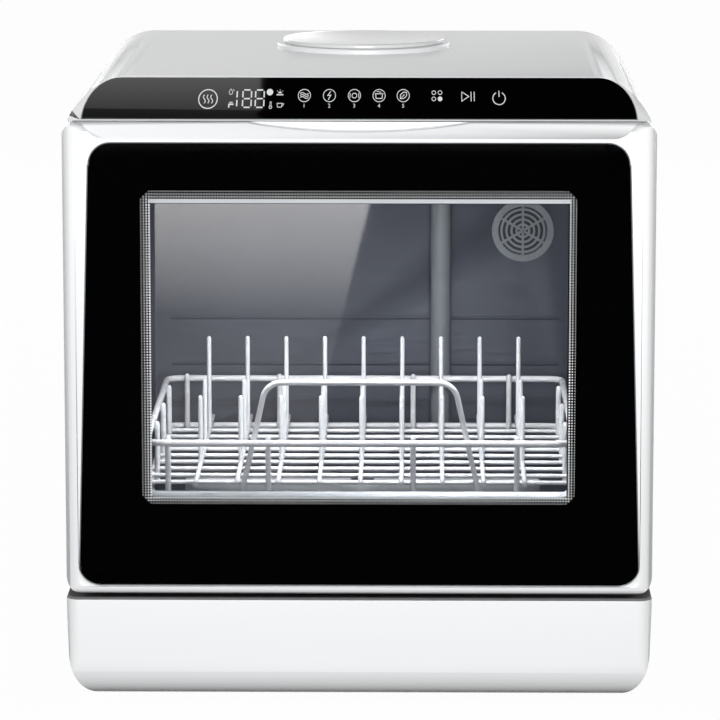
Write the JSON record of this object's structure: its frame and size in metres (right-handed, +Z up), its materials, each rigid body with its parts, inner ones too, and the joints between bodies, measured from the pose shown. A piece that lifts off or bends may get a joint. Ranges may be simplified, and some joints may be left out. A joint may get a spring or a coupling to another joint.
{
  "type": "countertop dishwasher",
  "caption": "Countertop dishwasher with a drop-down glass-fronted door, sloped control strip, filler cap on top and a roll-out wire basket.",
  "frame": {"origin": "middle of the base, on the worktop", "axes": "+Z up, front and door towards -Y, +X to the viewer's right"},
  "size_m": [0.42, 0.435, 0.452],
  "materials": {
    "gloss_white": "glossy white ABS",
    "white_cap": "glossy white ABS",
    "black_glass": "back-printed tempered glass, polished",
    "window_glass": "clear tempered glass, lightly tinted",
    "pane_glass": "clear tempered glass",
    "black_print": "black ceramic print",
    "stainless": "fine brushed stainless",
    "tub_steel": "dark brushed stainless",
    "zinc_steel": "zinc-plated",
    "wire_coat": "silver-grey coated wire",
    "grey_plastic": "moulded grey polypropylene",
    "light_plastic": "moulded light polypropylene",
    "dark_plastic": "moulded dark polypropylene",
    "tank_plastic": "translucent polypropylene, moulded",
    "blue_plastic": "moulded blue nylon",
    "circuit_board": "solder-masked board",
    "soft_rubber": "moulded silicone rubber",
    "foam": "closed-cell foam"
  },
  "bodies": {
    "cabinet": {"plinth": "gloss_white", "base_plate": "zinc_steel", "feet": "soft_rubber", "left_side_panel": "gloss_white", "right_side_panel": "gloss_white", "back_panel": "light_plastic", "front_frame": "gloss_white", "top_cover": "gloss_white", "tub_shell": "tub_steel", "tub_seal": "soft_rubber", "tub_legs": "grey_plastic", "basket_tracks": "grey_plastic", "sump": "dark_plastic", "filter_plate": "stainless", "heater": "stainless", "wash_pump": "dark_plastic", "drain_pump": "dark_plastic", "inlet_valve": "blue_plastic", "drain_outlet": "grey_plastic", "water_tank": "tank_plastic", "fill_duct": "grey_plastic", "fill_collar": "gloss_white", "control_glass": "black_glass", "control_board": "circuit_board", "riser_pipe": "grey_plastic", "spray_hub": "grey_plastic", "fan_housing": "dark_plastic", "latch_housing": "dark_plastic", "hinge_brackets": "zinc_steel", "power_board": "dark_plastic", "cord_gland": "soft_rubber", "float_post": "grey_plastic", "case_screws": "zinc_steel"},
    "door": {"door_frame": "gloss_white", "door_glass": "window_glass", "glass_mask": "black_print", "door_liner": "stainless", "inner_window": "pane_glass", "window_seal": "soft_rubber", "door_screws": "zinc_steel", "latch_tongue": "zinc_steel", "hinge_pins": "stainless"},
    "cap": {"fill_cap": "white_cap", "cap_seal": "soft_rubber"},
    "basket": {"basket_top_wires": "wire_coat", "basket_low_wires": "wire_coat", "basket_floor_wires": "wire_coat", "basket_posts": "wire_coat", "basket_arch": "wire_coat", "basket_tines": "wire_coat", "roller_brackets": "grey_plastic"},
    "front_rollers": {"front_rollers": "grey_plastic"},
    "rear_rollers": {"rear_rollers": "grey_plastic"},
    "lower_arm": {"lower_spray_arm": "light_plastic"},
    "upper_arm": {"upper_spray_arm": "light_plastic"},
    "filter": {"filter_cup": "grey_plastic"},
    "wash_wheel": {"wash_impeller": "light_plastic"},
    "drain_wheel": {"drain_impeller": "light_plastic"},
    "fan": {"fan_rotor": "light_plastic"},
    "float": {"leak_float": "foam"}
  },
  "joints": [
    {"name": "door_hinge", "type": "hinge", "parent": "cabinet", "child": "door", "pos_m": [0, -0.205, 0.0895], "axis": [1, 0, 0], "range_deg": [0, 90]},
    {"name": "basket_slide", "type": "slide", "parent": "cabinet", "child": "basket", "axis": [0, -1, 0], "range_m": [0, 0.096]},
    {"name": "front_roller_turn", "type": "hinge", "parent": "basket", "child": "front_rollers", "pos_m": [0, -0.0945, 0.1292], "axis": [1, 0, 0], "range_deg": [0, 690]},
    {"name": "rear_roller_turn", "type": "hinge", "parent": "basket", "child": "rear_rollers", "pos_m": [0, 0.085, 0.1292], "axis": [1, 0, 0], "range_deg": [0, 690]},
    {"name": "cap_lift", "type": "slide", "parent": "cabinet", "child": "cap", "axis": [0, 0, 1], "range_m": [0, 0.06]},
    {"name": "lower_arm_spin", "type": "hinge", "parent": "cabinet", "child": "lower_arm", "pos_m": [0, -0.01, 0.117], "axis": [0, 0, 1], "continuous": true},
    {"name": "upper_arm_spin", "type": "hinge", "parent": "cabinet", "child": "upper_arm", "pos_m": [0, -0.01, 0.372], "axis": [0, 0, 1], "continuous": true},
    {"name": "filter_twist", "type": "hinge", "parent": "cabinet", "child": "filter", "pos_m": [0, 0.078, 0.105], "axis": [0, 0, 1], "range_deg": [0, 60]},
    {"name": "wash_pump_spin", "type": "hinge", "parent": "cabinet", "child": "wash_wheel", "pos_m": [-0.075, 0.078, 0.0415], "axis": [1, 0, 0], "continuous": true},
    {"name": "drain_pump_spin", "type": "hinge", "parent": "cabinet", "child": "drain_wheel", "pos_m": [0.072, 0.078, 0.0405], "axis": [1, 0, 0], "continuous": true},
    {"name": "fan_spin", "type": "hinge", "parent": "cabinet", "child": "fan", "pos_m": [0.125, 0.17, 0.29], "axis": [0, 1, 0], "continuous": true},
    {"name": "float_rise", "type": "slide", "parent": "cabinet", "child": "float", "axis": [0, 0, 1], "range_m": [0, 0.013]}
  ],
  "couplings": [
    {"joint": "basket_slide", "follows": "door_hinge", "m_per_rad": 0.061116},
    {"joint": "front_roller_turn", "follows": "door_hinge", "ratio": 7.6394},
    {"joint": "rear_roller_turn", "follows": "door_hinge", "ratio": 7.6394}
  ]
}
